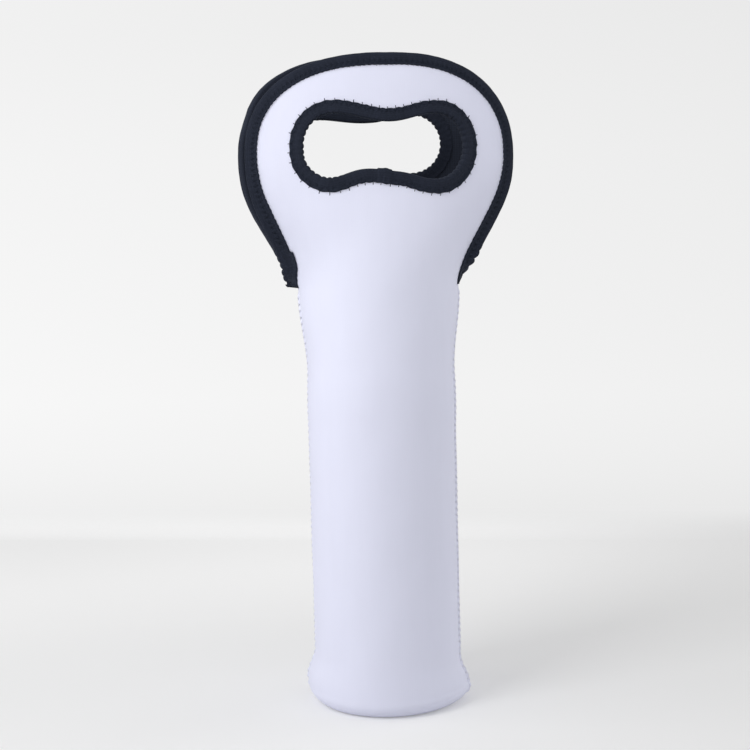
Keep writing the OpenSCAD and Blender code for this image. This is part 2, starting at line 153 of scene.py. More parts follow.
def level(z, depth, hand=1.0):
    """One level of a panel at a depth below its face: an arc and, above the seams, a flat margin that the
    tape covers."""
    z = np.asarray(z, float)
    up = z > SEAM_H
    c = mid_depth(z)
    flare = (1 - np.cos(PI * clip01((HEAD_Z - z) / (HEAD_Z - SEAM_H)) ** FLARE_POWER)) / 2
    head_turn = mix(HEAD_CREASE[2], MARGIN_TURN, ease((HEAD_Z - z) / (HEAD_Z - FOLD_HIGH)))
    turn = mix(SEAM_CREASE[2], head_turn, ease((z - SEAM_H) / by_hand(SWING_H, hand)))
    bent_x = mix(HEAD_CREASE[0], SEAM_CREASE[0], flare)
    bent_y = mix(SEAM_CREASE[1], HEAD_CREASE[1], ease((z - SEAM_H) / SPREAD_H))
    out, back = bent_x + MARGIN_W * np.cos(turn), bent_y - MARGIN_W * np.sin(turn)
    low = half_chord(z, hand)
    arc, r = bow(np.where(up, bent_x, low), np.where(up, c - bent_y, c))
    turn = np.where(up, turn, arc)
    flat = np.where(up, MARGIN_W, TINY)
    # the cut is square to the face where the two panels have parted
    square = np.where(up, np.minimum(1.0, back / (WALL * SQUARE_CUT_SHARE)), 0.0)
    edge_x = np.where(up, out, low) - depth * mix(1 / np.sin(turn), np.sin(turn), square)
    edge_y = np.where(up, back, 0.0) - depth * np.cos(turn) * square
    miter = depth / np.cos((arc - turn) / 2)
    half = (arc + turn) / 2
    corner_x = np.where(up, bent_x - miter * np.sin(half), edge_x)
    corner_y = np.where(up, bent_y - miter * np.cos(half), edge_y)
    return (edge_x, edge_y), (corner_x, corner_y), c - depth, r - depth, arc, arc * r, flat


def on_level(shape, share, z, hand, side):
    """A point of a level: share runs from 0 at the middle to 1 at the edge. The crease is rounded."""
    edge, corner, c, r, arc, arc_w, flat = shape
    taped = arc_w / (arc_w + flat)

    def on_arc(q):
        return r * np.sin(q / taped * arc), c - r * (1 - np.cos(q / taped * arc))

    def on_flat(q):
        return tuple(mix(m, n, (q - taped) / (1 - taped)) for m, n in zip(corner, edge))

    soft = np.minimum(CREASE_HALF / (arc_w + flat), (1 - taped) * CREASE_MOST_SHARE)
    u = clip01((share - taped + soft) / (2 * soft))
    bend = [(1 - u) ** 2 * m + 2 * u * (1 - u) * k + u * u * n
            for m, k, n in zip(on_arc(taped - soft), corner, on_flat(taped + soft))]
    beyond = np.maximum(share - 1, 0) * (arc_w + flat)
    inner, outer = on_arc(np.minimum(share, 1)), on_flat(np.minimum(share, 1))
    outer = outer[0] + beyond, outer[1]
    x, y = (np.where(u <= 0, i, np.where(u >= 1, o, b)) for i, o, b in zip(inner, outer, bend))
    x, y = hand * x, -side * y
    # the right seam runs forward on the bottle and the left one back
    turn = BEND_TURN * ease((BEND_TOP - z) / BEND_H) + SLEEVE_TURN * ease((SLEEVE_TOP - z) / SLEEVE_H)
    turned_x = x * np.cos(turn) + y * np.sin(turn) + np.interp(z, DRIFT_Z, DRIFT)
    turned_y = y * np.cos(turn) - x * np.sin(turn)
    return np.stack(np.broadcast_arrays(turned_x, turned_y, z), axis=-1)


def ruler(z, hand=1.0):
    """Distance along the face from the middle of a panel to its edge."""
    arc_w, flat = level(z, 0.0, hand)[5:]
    return arc_w + flat


def hand_of(s):
    return np.where(np.asarray(s) < 0, -1.0, 1.0)


def on_sheet(s, z, depth, side):
    """A point of a panel from its distance along the face, its height and its depth below the face."""
    s, z, depth = np.broadcast_arrays(np.asarray(s, float), np.asarray(z, float), np.asarray(depth, float))
    hand = hand_of(s)
    return on_level(level(z, depth, hand), np.abs(s) / ruler(z, hand), z, hand, side)


def on_corner(share, turn, depth, side):
    """A point of the rounded bottom edge: turn runs from 0 at the floor to a quarter turn at the wall."""
    hand = hand_of(share)
    c = SLEEVE_R - BASE_R + (BASE_R - depth) * np.sin(turn)
    height = BASE_R - (BASE_R - depth) * np.cos(turn)
    out = c + ear(BASE_R * (1 - np.cos(turn)), hand)
    arc, r = bow(out, c)
    edge = (out, np.zeros_like(out))
    return on_level((edge, edge, c, r, arc, arc * r, TINY), np.abs(share), height, hand, side)


# Meshes
THREAD_SIDES, THREAD_SIDE_W = 5, 0.3
THREAD_UP = [0.31, 0.47, 0.82]


def unit(v):
    return v / np.maximum(1e-9, np.linalg.norm(v, axis=-1, keepdims=True))


def run_along(points):
    """Distances of the points of a path along it."""
    return np.concatenate([[0], np.cumsum(np.linalg.norm(np.diff(points, axis=0), axis=1))])


def grid_faces(rows, cols, ring=False, loop=False, flip=False, start=0):
    """Quads of a grid of points. With ring its last column meets the first, with loop its last row."""
    r = np.arange(rows if loop else rows - 1)[:, None]
    c = np.arange(cols if ring else cols - 1)[None, :]
    next_r, next_c = (r + 1) % rows, (c + 1) % cols
    corners = [r * cols + c, r * cols + next_c, next_r * cols + next_c, next_r * cols + c]
    return (start + np.stack(turned_over(corners, flip), axis=-1)).reshape(-1, 4).tolist()


def turned_over(corners, flip):
    return corners[:1] + corners[:0:-1] if flip else corners


def make(name, points, faces, mats, face_mat=None, uv=None):
    """An object from points in millimetres, faces, and a place on the cloth for every point."""
    mesh = bpy.data.meshes.new(name)
    mesh.from_pydata((np.asarray(points) * MM).tolist(), [], faces)
    for material in mats:
        mesh.materials.append(material)
    if face_mat is not None:
        mesh.polygons.foreach_set("material_index", np.asarray(face_mat, dtype=np.int32))
    if uv is not None:
        layer = mesh.uv_layers.new(name="cloth")
        corners = np.empty(len(mesh.loops), dtype=np.int32)
        mesh.loops.foreach_get("vertex_index", corners)
        layer.data.foreach_set("uv", (np.asarray(uv)[corners] * MM).astype(np.float32).ravel())
    mesh.shade_smooth()
    mesh.validate()
    mesh.update()
    obj = bpy.data.objects.new(name, mesh)
    bpy.context.scene.collection.objects.link(obj)
    return obj


def end_faces(count, sides):
    """The two ends of a tube of so many rings."""
    return [list(range(sides))[::-1], [(count - 1) * sides + k for k in range(sides)]]


def tube(path, radius):
    """Points, faces and places on the cloth of a thread along a path."""
    path = np.asarray(path, float)
    count = len(path)
    ahead = np.roll(path, -1, axis=0) - np.roll(path, 1, axis=0)
    ahead[0], ahead[-1] = path[1] - path[0], path[-1] - path[-2]
    ahead = unit(ahead)
    up = np.zeros_like(path)
    up[0] = unit(np.cross(ahead[0], THREAD_UP))
    for i in range(1, count):
        up[i] = unit(up[i - 1] - ahead[i] * np.dot(up[i - 1], ahead[i]))
    across = np.cross(ahead, up)
    turn = (np.arange(THREAD_SIDES) * 2 * PI / THREAD_SIDES)[None, :, None]
    ring = up[:, None, :] * np.cos(turn) + across[:, None, :] * np.sin(turn)
    points = (path[:, None, :] + ring * radius).reshape(-1, 3)
    faces = grid_faces(count, THREAD_SIDES, ring=True) + end_faces(count, THREAD_SIDES)
    around = np.tile(np.arange(THREAD_SIDES) * THREAD_SIDE_W, count)
    return points, faces, np.stack([np.repeat(run_along(path), THREAD_SIDES), around], axis=-1)


def join(parts):
    points, faces, uvs, start = [], [], [], 0
    for p, f, uv in parts:
        points.append(p)
        uvs.append(uv)
        faces += [[i + start for i in face] for face in f]
        start += len(p)
    return np.concatenate(points), faces, np.concatenate(uvs)


# Materials. A wave texture at scale 1 has so many bands in a metre.
WAVE_BANDS = 3.1831


def new_material(name):
    material = bpy.data.materials.new(name)
    material.use_nodes = True
    tree = material.node_tree
    return material, tree, tree.nodes["Principled BSDF"]


def feed(tree, target, inputs):
    """Gives each named or numbered input of a node its value, or links it to the output given for it."""
    for key, value in inputs.items():
        if isinstance(value, bpy.types.NodeSocket):
            tree.links.new(value, target.inputs[key])
        else:
            target.inputs[key].default_value = value


def node(tree, kind, inputs=None, **props):
    made = tree.nodes.new("ShaderNode" + kind)
    for key, value in props.items():
        setattr(made, key, value)
    feed(tree, made, inputs or {})
    return made


def bands(tree, vector, direction, per_metre, distortion, detail):
    inputs = {"Vector": vector, "Scale": per_metre / WAVE_BANDS, "Distortion": distortion, "Detail": detail}
    return node(tree, "TexWave", inputs, bands_direction=direction).outputs["Fac"]


def noise(tree, vector, scale, detail, roughness=0.5):
    inputs = {"Vector": vector, "Scale": scale, "Detail": detail, "Roughness": roughness}
    return node(tree, "TexNoise", inputs).outputs["Fac"]


def mapped(tree, vector, **inputs):
    return node(tree, "Mapping", {"Vector": vector, **inputs}).outputs["Vector"]


def mixed(tree, factor, first, second):
    return node(tree, "Mix", {"Factor": factor, 2: first, 3: second}, data_type="FLOAT").outputs[0]


def mixed_colour(tree, factor, first, second):
    inputs = {"Factor": factor, 6: (*first, 1), 7: (*second, 1)}
    return node(tree, "Mix", inputs, data_type="RGBA").outputs[2]


def mixed_shader(tree, factor, first, second):
    return node(tree, "MixShader", {"Fac": factor, 1: first, 2: second}).outputs[0]


def ranged(tree, value, low, high, to_low=0.0, to_high=1.0, smooth=False):
    """Carries a value from one range to another."""
    inputs = {"Value": value, "From Min": low, "From Max": high, "To Min": to_low, "To Max": to_high}
    kind = "SMOOTHSTEP" if smooth else "LINEAR"
    return node(tree, "MapRange", inputs, interpolation_type=kind).outputs["Result"]


def computed(tree, operation, first, second):
    return node(tree, "Math", {0: first, 1: second}, operation=operation).outputs[0]


def raised(tree, height, strength, distance):
    inputs = {"Height": height, "Strength": strength, "Distance": distance}
    return node(tree, "Bump", inputs).outputs["Normal"]


def knit(name, light, dark, pitch, bump, rough, sheen, mottle=0.35, tint=(1, 1, 1), rib=0.5, fuzz=0.3):
    """A knit cloth: wales and courses at a pitch in metres, a soft mottle and a little fuzz."""
    material, tree, shader = new_material(name)
    on_cloth = node(tree, "UVMap", uv_map="cloth").outputs["UV"]
    place = node(tree, "TexCoord").outputs["Object"]
    wales = bands(tree, on_cloth, "X", 0.5 / pitch, distortion=0.6, detail=1.0)
    courses = bands(tree, on_cloth, "Y", 0.7 / pitch, distortion=0.9, detail=1.0)
    fine = noise(tree, place, 1.6 / pitch, detail=3.0)
    # the mottle runs along the wales
    grain = mapped(tree, place, Scale=(6.0, 6.0, 1.0))
    broad = noise(tree, grain, 24.0, detail=4.0, roughness=0.6)
    body = mixed(tree, fuzz, mixed(tree, rib, courses, wales), fine)
    shade = ranged(tree, mixed(tree, mottle, body, broad), 0.25, 0.75)
    feed(tree, shader, {
        "Base Color": mixed_colour(tree, shade, dark, light),
        "Normal": raised(tree, body, bump, pitch * 0.35),
        "Roughness": ranged(tree, fine, 0.0, 1.0, rough - 0.06, min(1.0, rough + 0.06)),
        "Specular IOR Level": 0.25,
        "Sheen Weight": sheen,
        "Sheen Roughness": 0.45,
        "Sheen Tint": (*tint, 1),
    })
    return material


def twisted(name, light, dark, pitch=0.0006, tint=(1, 1, 1)):
    """Sewing thread, with the twist of its plies."""
    material, tree, shader = new_material(name)
    on_thread = node(tree, "UVMap", uv_map="cloth").outputs["UV"]
    slanted = mapped(tree, on_thread, Rotation=(0, 0, 0.8))
    plies = bands(tree, slanted, "X", 0.5 / pitch, distortion=0.5, detail=2.0)
    feed(tree, shader, {
        "Base Color": mixed_colour(tree, plies, dark, light),
        "Normal": raised(tree, plies, 0.5, pitch * 0.3),
        "Roughness": 0.75,
        "Specular IOR Level": 0.3,
        "Specular Tint": (*tint, 1),
        "Sheen Weight": 0.05,
        "Sheen Tint": (*tint, 1),
    })
    return material


face_cloth = knit(
    "face_fabric", light=(0.805, 0.818, 0.97), dark=(0.78, 0.793, 0.94), pitch=0.0005, bump=0.12, rough=0.74,
    sheen=0.08, mottle=0.55, tint=(0.95, 0.95, 1.0), rib=0.6, fuzz=0.5)
lining_cloth = knit(
    "lining", light=(0.022, 0.028, 0.046), dark=(0.011, 0.014, 0.024), pitch=0.0007, bump=0.4, rough=0.85,
    sheen=0.10, tint=(0.45, 0.56, 0.85))
tape_cloth = knit(
    "binding", light=(0.018, 0.023, 0.041), dark=(0.006, 0.009, 0.018), pitch=0.0008, bump=0.8, rough=0.85,
    sheen=0.07, mottle=0.4, tint=(0.55, 0.64, 0.85), rib=0.3, fuzz=0.75)
foam_cut = knit(
    "foam", light=(0.03, 0.031, 0.034), dark=(0.015, 0.015, 0.017), pitch=0.0009, bump=0.5, rough=0.9,
    sheen=0.0, fuzz=0.9)
dark_thread = twisted("dark_thread", (0.014, 0.018, 0.028), (0.005, 0.007, 0.012), tint=(0.5, 0.6, 0.85))
white_thread = twisted("white_thread", (0.86, 0.86, 0.92), (0.66, 0.66, 0.74))

# Places across a panel as shares of its half width: fine beside the seams, wider in the middle
QUARTER = SLEEVE_R * PI / 2
NEAR_SEAM = [0, 0.3, 0.6, 0.95, 1.3, 1.7, 2.1, 2.5, 2.9, 3.5, 4.4, 5.6, 7.2, 9.2]
to_middle = np.linspace(NEAR_SEAM[-1], QUARTER, 26)[1:]
right_half = 1 - np.concatenate([NEAR_SEAM, to_middle]) / QUARTER
ACROSS = np.concatenate([-right_half, right_half[::-1][1:]])
FROM_SEAM = (1 - np.abs(ACROSS)) * QUARTER
COLS = len(ACROSS)

# Rows of the sleeve's grid: across half the base, round its edge and up to the heads' bend
BASE_SHARES = [0.0, 0.06, 0.2, 0.4, 0.6, 0.8, 0.92]
BASE_CLOTH = 30.0
BASE_TURNS = np.linspace(0, PI / 2, 12)
ROW_H = 0.9
UP_Z = np.concatenate([
    np.linspace(BASE_R, EAR_TOP, 16)[1:],
    np.arange(EAR_TOP + ROW_H, FOLD_LOW, ROW_H),
    np.linspace(FOLD_LOW, FOLD_HIGH, 26),
])
ROWS = len(BASE_SHARES) + len(BASE_TURNS) + len(UP_Z)

# Stations round a head, and rings from there to its hand hole
FOOT_N = COLS - 1
SIDE_N, CROWN_N = 20, 104
OUTLINE_N = 2 * SIDE_N + CROWN_N
RING_N = OUTLINE_N + FOOT_N
RINGS = 22
HOLE_FOOT_SHARE = 0.40

# The lips of the side seams, the grooves that the stitches sink beside them, and the puckers further out
LIP_H, LIP_D, LIP_HALF = 0.85, 0.95, 1.15
PINCH_SHARE = 0.7
GROOVE_H, GROOVE_D, GROOVE_W = 0.9, 2.2, 0.7
PUCKER_H, PUCKER_D, PUCKER_W = 0.10, 5.0, 3.0

# The cloth is drawn in above the bottle's shoulder and full below it. The line hangs lower beside the seams.
DRAWN_H, DRAWN_FROM, DRAWN_TO = 0.55, SHOULDER_Z - 5, SHOULDER_Z + 12
FULL_H, FULL_Z, FULL_W = 0.25, SHOULDER_Z - 14, 8.0
SHOULDER_SAG = 0.0016

# The crown is squarer than an ellipse, by these powers, and fuller (or less full) at its right and left ends
CROWN_RISE_POWER, CROWN_WIDTH_POWER = 0.909, 0.8
RIGHT_FULLER = -0.02
LEFT_FULLER = {FRONT: 0.025, BACK: -0.12}
# the back crown is turned askew in its own plane, and drawn in at its left end
BACK_ASKEW = 0.178
BACK_DRAWN, BACK_DRAWN_RISE, BACK_DRAWN_W = 1.6, 25, 11

# The back hole's right end stands higher. The front hole is cut unevenly: (place, width, height) of each wave
# of its lower edge.
BACK_HOLE_IN, BACK_HOLE_UP = 0.6, 2.0
FRONT_HOLE_WAVES = ((-14, 9, 1.6), (-31, 11, -1.1), (3, 7, -0.7))
FRONT_HOLE_TURN = math.radians(-2.0)
TANGENT_STEP = 0.35


# Panels
def lips(d, z, side):
    """Height of a seam's lip over the face, at a distance d from the seam. Each stitch pinches it."""
    up = clip01((z - 1.0) / 5.0) * clip01((SEAM_H + 1 - z) / 4.0)
    wave = np.cos(2 * PI * z / SEAM_PITCH + (0 if side == FRONT else PI))
    stitch = 0.5 + 0.5 * wave
    rounded = np.sqrt(clip01(1 - ((d - LIP_D) / LIP_HALF) ** 2))
    cut_side = np.where(d < LIP_D, mix(0.55, 1.0, d / LIP_D), 1)
    lip = LIP_H * rounded * cut_side * (1 - PINCH_SHARE * stitch ** 4)
    groove = GROOVE_H * bell(d - GROOVE_D, GROOVE_W) * stitch ** 5
    pucker = PUCKER_H * bell(d - PUCKER_D, PUCKER_W) * wave
    return up * (lip - groove + pucker)


def relief(s, z, side):
    """Soft unevenness of the cloth over the bottle."""
    wave = 0.16 * np.sin(s / 9.0 + z / 31.0 + side) * np.sin(z / 17.0 + 0.6 * side)
    wave += 0.10 * np.sin(s / 5.3 - z / 23.0 + 1.3) * np.sin(z / 11.0 + 2.1)
    q = z + SHOULDER_SAG * s * s
    drawn = DRAWN_H * ease((q - DRAWN_FROM) / 15) * (1 - ease((q - DRAWN_TO) / 34))
    return clip01(z / EAR_TOP) * (wave - drawn + FULL_H * bell(q - FULL_Z, FULL_W))


def outline_place(k, side):
    """A head's outline from its right lower corner over the crown to its left lower corner."""
    k = np.asarray(k, float)
    right_z = mix(FOLD_HIGH, HEAD_Z, clip01(k / SIDE_N))
    left_z = mix(HEAD_Z, FOLD_HIGH, clip01((k - SIDE_N - CROWN_N) / SIDE_N))
    turn = PI * clip01((k - SIDE_N) / CROWN_N)
    fuller = mix(RIGHT_FULLER, LEFT_FULLER[side], ease(k / OUTLINE_N * 2 - 0.5))
    x = HALF_HEAD * np.sign(np.cos(turn)) * np.abs(np.cos(turn)) ** (CROWN_WIDTH_POWER - fuller)
    rise = CROWN_RISE * np.abs(np.sin(turn)) ** (CROWN_RISE_POWER - fuller)
    # the crown's width is measured straight across, so it is carried onto the bowed sheet
    edge, corner, _, r, _, arc_w, flat = level(HEAD_Z, 0.0)
    on_margin = arc_w + (np.abs(x) - corner[0]) / (edge[0] - corner[0]) * flat
    on_arc = np.arcsin(np.clip(np.abs(x) / r, 0, 1)) * r
    s = np.sign(x) * np.where(np.abs(x) > corner[0], on_margin, on_arc)
    if side == BACK:
        askew = BACK_ASKEW * ease(turn / PI * 2 - 0.1) * clip01(rise / 14)
        s, rise = s + askew * rise, rise - askew * s
        s = s + BACK_DRAWN * bell(rise - BACK_DRAWN_RISE, BACK_DRAWN_W) * (s < 0)
    crown = np.stack([s, HEAD_Z + rise], axis=-1)
    right = np.stack([ruler(right_z, 1.0), right_z], axis=-1)
    left = np.stack([-ruler(left_z, -1.0), left_z], axis=-1)
    low = (k < SIDE_N)[..., None]
    high = (k > SIDE_N + CROWN_N)[..., None]
    return np.where(low, right, np.where(high, left, crown))


def waist_half(x, side):
    return mix(WAIST_R[side], LOBE_R, (1 - np.cos(PI * x / LOBE_X)) / 2)


def hole_curve(side):
    """The cut edge of the hand hole as a fine closed curve from the bottom middle, counter-clockwise."""
    xs = np.linspace(0, LOBE_X, 200)
    low = np.stack([xs, -waist_half(xs, side)], axis=-1)
    turn = np.linspace(-PI / 2, PI / 2, 240)[1:]
    lobe = np.stack([LOBE_X + LOBE_R * np.cos(turn), LOBE_R * np.sin(turn)], axis=-1)
    right = np.concatenate([low, lobe, low[::-1][1:] * [1, -1]])
    x, y = np.concatenate([right, right[::-1][1:-1] * [-1, 1]]).T
    if side == BACK:
        right_end = ease((x - 6) / 20)
        return np.stack([x - BACK_HOLE_IN * right_end, HOLE_Z + y + BACK_HOLE_UP * right_end], axis=-1)
    lower = ease(-y / 12)
    y = y * (1 + 0.05 * ease((x - 4) / 20))
    y = y + lower * sum(height * bell(x - middle, width) for middle, width, height in FRONT_HOLE_WAVES)
    x = x - 1.5 * ease(-x / 24) * lower
    cos, sin = math.cos(FRONT_HOLE_TURN), math.sin(FRONT_HOLE_TURN)
    return np.stack([x * cos - y * sin, HOLE_Z + x * sin + y * cos], axis=-1)


def looped(curve):
    return np.concatenate([curve, curve[:1]])


def at(where, run, points):
    return np.stack([np.interp(where, run, points[:, i]) for i in range(2)], axis=-1)


def resample(points, count, closed):
    """Evenly spaced places on a curve, their unit tangents, their distances along it, and its length."""
    points = looped(points) if closed else points
    run = run_along(points)
    total = run[-1]
    where = np.arange(count) * total / count if closed else np.linspace(0, total, count)
    before, after = where - TANGENT_STEP, where + TANGENT_STEP
    if closed:
        before, after = before % total, after % total
    return at(where, run, points), unit(at(after, run, points) - at(before, run, points)), where, total


def outer_ring(side):
    """Stations round a head: its outline, and back along the top row of the sleeve's grid."""
    foot = ACROSS[:-1] * ruler(FOLD_HIGH, hand_of(ACROSS[:-1]))
    return np.concatenate([
        outline_place(np.arange(OUTLINE_N), side),
        np.stack([foot, np.full(FOOT_N, FOLD_HIGH)], axis=-1),
    ])


def hole_ring(side):
    """Places round the hand hole that face the stations of the outer ring, in the same order."""
    curve = looped(hole_curve(side))
    run = run_along(curve)
    total = run[-1]
    foot = total * HOLE_FOOT_SHARE
    up = foot / 2 + (total - foot) * np.arange(OUTLINE_N) / OUTLINE_N
    down = total - foot / 2 + foot * np.arange(FOOT_N) / FOOT_N
    return at(np.concatenate([up, down]) % total, run, curve)


def skin(side, depth, face_share):
    """Points of a panel's face or lining, and their places on the cloth: the sleeve's grid, the head's
    outline and the rings inside it. Lips and relief stand over the face only, where face_share is 1."""
    points, cloth = [], []

    def row(place, s, z):
        points.append(place)
        cloth.append(np.stack(np.broadcast_arrays(s, z), axis=-1))

    on_floor = on_corner(ACROSS, np.zeros(COLS), np.full(COLS, depth), side)
    for share in BASE_SHARES:
        row(on_floor * [1, share, 1], on_floor[:, 0], (share - 1) * BASE_CLOTH)
    for turn in BASE_TURNS:
        z = BASE_R * (1 - np.cos(turn))
        lift = face_share * lips(FROM_SEAM, z, side)
        row(on_corner(ACROSS, np.full(COLS, turn), depth - lift, side), ACROSS * QUARTER, z)
    for z in UP_Z:
        s = ACROSS * ruler(z, hand_of(ACROSS))
        lift = face_share * (lips(FROM_SEAM, z, side) + relief(s, z, side))
        row(on_sheet(s, z, depth - lift, side), s, z)
    outer, inner = outer_ring(side), hole_ring(side)
    s, z = outer[:OUTLINE_N].T
    row(on_sheet(s, z, depth, side), s, z)
    for share in np.arange(1, RINGS + 1) / RINGS:
        s, z = mix(outer, inner, share).T
        row(on_sheet(s, z, depth - face_share * relief(s, z, side) * (1 - share), side), s, z)
    return np.concatenate(points), np.concatenate(cloth)


def outline_index():
    """Indices round a head: the grid's right top corner, the outline and the grid's top row."""
    top, outline = (ROWS - 1) * COLS, ROWS * COLS
    return np.concatenate([[top + FOOT_N], outline + np.arange(1, OUTLINE_N), top + np.arange(FOOT_N)])


def skin_faces(flip, start):
    outer = outline_index() + start
    rings = start + ROWS * COLS + OUTLINE_N
    first = rings + np.arange(RING_N)
    corners = [outer, np.roll(outer, -1), np.roll(first, -1), first]
    faces = grid_faces(ROWS, COLS, flip=flip, start=start)
    faces += np.stack(turned_over(corners, flip), axis=-1).tolist()
    return faces + grid_faces(RINGS, RING_N, ring=True, flip=flip, start=rings)


def cut_faces(index, per_skin, flip):
    """Faces between the two skins along a row of indices."""
    faces = [[a, a + per_skin, b + per_skin, b] for a, b in zip(index, index[1:])]
    return [face[::-1] for face in faces] if flip else faces


def panel(name, side):
    """One cut piece of laminate, from the base seam to the crown, with its face, lining and cut edges."""
    face, on_face = skin(side, 0.0, 1.0)
    lining, on_lining = skin(side, WALL, 0.0)
    per_skin = len(face)
    back = side == BACK
    faces = skin_faces(back, 0) + skin_faces(not back, per_skin)
    in_skin = len(faces) // 2
    left_column = [r * COLS for r in range(ROWS)]
    right_column = [start + FOOT_N for start in left_column]
    outline = outline_index()[:OUTLINE_N].tolist() + left_column[-1:]
    hole = list(range(per_skin - RING_N, per_skin))
    for index in (list(range(COLS)), right_column, outline, left_column[::-1]):
        faces += cut_faces(index, per_skin, back)
    faces += cut_faces(hole + hole[:1], per_skin, not back)
    mat = [0] * in_skin + [1] * in_skin + [2] * (len(faces) - 2 * in_skin)
    # the outline's first place is the grid's corner already, so its own point is left out
    points, cloth = np.concatenate([face, lining]), np.concatenate([on_face, on_lining])
    used = np.zeros(len(points), bool)
    for corners in faces:
        used[corners] = True
    new = (np.cumsum(used) - 1).tolist()
    faces = [[new[i] for i in corners] for corners in faces]
    return make(name, points[used], faces, [face_cloth, lining_cloth, foam_cut], mat, cloth[used])


# Folded tapes. Sizes are in millimetres, into the laminate from its cut edge.
HEM_R, HEM_T = 0.55, 0.12
FLAT_INTO = [5.0, 4.2, 3.4, 2.6, 1.8, 1.0, 0.3]
UNDER_INTO = [TAPE_W - 1.0, 0.2]
FOLD_POWER = 0.8
# the tape is wider at the heads' bend and a little narrower where it is stretched round the crown
TAPE_Z = [0, 232, 250, 265, 275, 290, 300, 330, 350]
TAPE_SHARES = [1.0, 1.1, 1.25, 1.3, 1.25, 1.1, 1.0, 0.96, 0.92]

# Stitches: the pitch of the zigzag, the (middle, width) of its row and the (least, most) that it sinks
HOLE_STITCH, HOLE_ROW, HOLE_SUNK = 4.8, (4.4, 1.5), (0.14, 0.44)
EDGE_STITCH, EDGE_ROW, EDGE_SUNK = 2.9, (3.9, 1.7), (0.10, 0.42)

# Unevenness: how far the inner edge moves with the stitches and by itself, and the slack in the tape's face
HOLE_HEM_STITCHED, HOLE_HEM_LOOSE, HOLE_SLACK = 0.16, 0.12, 0.10
EDGE_HEM_STITCHED, EDGE_HEM_LOOSE, EDGE_SLACK, EDGE_LOOSE = 0.14, 0.12, 0.09, 0.08
HOLE_SEED, EDGE_SEED = {FRONT: 0.4, BACK: 1.9}, {FRONT: 0.9, BACK: 2.7}
# each wave is (height, rate, start)
WOBBLE_WAVES = ((1.0, 1.0, 1.0), (0.7, 2.3, 2.1), (0.5, 4.7, 3.7))

# Gathers round the hole's ends, and the lap of the hole's tape, to the left and right of its bottom middle
HOLE_GATHER, HOLE_GATHER_IN, HOLE_GATHER_OUT, HOLE_FOLD = 3.3, 0.25, 0.50, 0.32
LAP_FROM, LAP_TO, LAP_STEP, LAP_T, LAP_OUT, LAP_NOTCH = -5.2, 3.0, 0.7, 0.55, 0.6, 0.5

# Gathers at the edge tape's two ends, as (right, left): their pitch and height
END_GATHER, END_GATHER_H, END_FOLD = (4.4, 3.5), (1.5, 0.9), 0.25
# Steps towards an end of the tape: (from so far before it, over a length, so high)
RIGHT_GATHERED, LEFT_GATHERED = ((24, 12, 1.0),), ((24, 14, 1.0),)
RIGHT_DRAWN_IN = ((15, 12, 1.2), (3, 3, 2.0))
LEFT_TAPER, LEFT_ROUNDING = ((12, 6, 1.6), (7, 7, 2.4), (2.5, 2.5, 2.4)), ((5, 5, 1.6),)
LEFT_FRAYED = ((5, 5, 1.0),)
# the second layer at the left end: where it starts and grows thin, its width and its thickness
TAB_START, TAB_THINS, TAB_W, TAB_T = ((19.5, 0.8, 1.0),), ((18, 15, 0.85),), 2.2, 0.35


def tape_section():
    """Half-round folded tape, from its inner edge on the face round the cut edge to its inner edge on the
    lining, and back along the laminate. Each point is [into the laminate, depth below the face]."""
    face, lining = -TAPE_FIT, WALL + TAPE_FIT
    half = (lining - face) / 2 + TAPE_T
    leaf = [[TAPE_W - HEM_R + HEM_R * math.cos(a), HEM_T + (TAPE_T - HEM_T) * math.sin(a)]
            for a in np.linspace(0, PI / 2, 5)]
    leaf += [[into, TAPE_T] for into in FLAT_INTO]
    turned = [[-TAPE_FIT - TAPE_T * math.sin(a) ** FOLD_POWER, WALL / 2 - half * math.cos(a)]
              for a in np.linspace(0, PI, 9)[1:-1]]
    section = [[into, face - rise] for into, rise in leaf] + turned
    section += [[into, lining + rise] for into, rise in leaf[::-1]]
    section += [[into, lining] for into in UNDER_INTO] + [[into, face] for into in UNDER_INTO[::-1]]
    return np.array(section)


SECTION = tape_section()


def tape_share(z):
    return np.interp(z, TAPE_Z, TAPE_SHARES)


def left_of(ahead):
    return np.stack([-ahead[:, 1], ahead[:, 0]], axis=-1)


def sweep(place, inward, along, side, shape, closed, fray=lambda into, depth, run: 0.0):
    """Carries the tape's section along a curve on the sheet. shape(into, depth, run) gives the section at
    each station, and fray how much higher than the station its points lie."""
    count, sides = len(place), len(SECTION)
    width = np.where(SECTION[:, 0] > 0, tape_share(place[:, 1])[:, None], 1)
    depth = np.broadcast_to(SECTION[:, 1], (count, sides))
    run = np.broadcast_to(along[:, None], (count, sides))
    into, depth = shape(SECTION[:, 0] * width, depth, run)
    s = place[:, None, 0] + inward[:, None, 0] * into
    z = place[:, None, 1] + inward[:, None, 1] * into + fray(into, depth, run)
    points = on_sheet(s, z, depth, side).reshape(-1, 3)
    cloth = np.stack([run, np.broadcast_to(run_along(SECTION), (count, sides))], axis=-1).reshape(-1, 2)
    # a closed curve runs the other way round its tape than an open one
    faces = grid_faces(count, sides, ring=True, loop=closed, flip=(side == FRONT) != closed)
    if not closed:
        faces += end_faces(count, sides)
    return points, faces, cloth


def saw(x):
    """Row of rounded bumps with sharp valleys, from 0 to 1, one bump for each whole step."""
    return np.abs(np.sin(PI * x)) ** 0.7


def wobble(x, seed):
    """Smooth irregular wave from -1 to 1."""
    total = sum(height for height, _, _ in WOBBLE_WAVES)
    return sum(height * np.sin(x * rate + start * seed) for height, rate, start in WOBBLE_WAVES) / total


def steps(before_end, table):
    return sum(height * ease((start - before_end) / length) for start, length, height in table)


